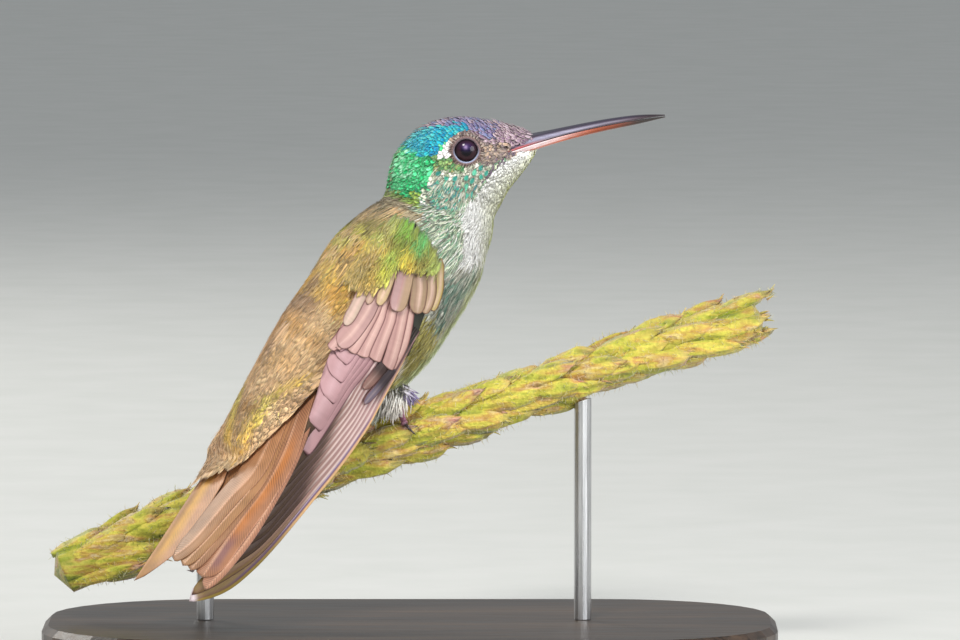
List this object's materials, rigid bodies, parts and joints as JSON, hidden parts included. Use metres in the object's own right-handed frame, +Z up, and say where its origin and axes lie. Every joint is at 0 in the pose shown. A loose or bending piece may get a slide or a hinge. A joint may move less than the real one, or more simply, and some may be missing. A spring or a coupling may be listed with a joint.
{
  "type": "perched hummingbird model",
  "caption": "Life-size museum model of a perched hummingbird with folded wings and a long straight bill, gripping a cut flower spike that a low stand holds.",
  "frame": {"origin": "middle of the stand's underside, on the surface it rests on", "axes": "+X along the stand's length and the way the bill points, +Z up; the perch lies in the plane Y = 0"},
  "size_m": [0.102, 0.062, 0.076],
  "materials": {
    "plumage": "overlapping small feathers, iridescent blue, green and bronze above, white below",
    "coverts": "layered wing coverts with a silky sheen",
    "quills": "flight and tail feathers, silky with fine barbs",
    "horn": "smooth dark horn of the bill, toes and claws",
    "eye": "wet, near-black eye",
    "stem": "soft green flower spike with pressed bracts and fine hairs",
    "board": "dark stained wood, satin",
    "steel": "satin steel rod"
  },
  "bodies": {
    "root": {"trunk": "plumage", "neck": "plumage", "head": "plumage", "leg_left": "plumage", "leg_right": "plumage", "wing_left_coverts": "coverts", "wing_right_coverts": "coverts", "wing_left_flight": "quills", "wing_right_flight": "quills", "tail": "quills", "bill_upper": "horn", "bill_lower": "horn", "foot_left": "horn", "foot_right": "horn", "eye_left": "eye", "eye_right": "eye", "perch": "stem", "stand_base": "board", "stand_rod_left": "steel", "stand_rod_right": "steel"}
  },
  "joints": []
}
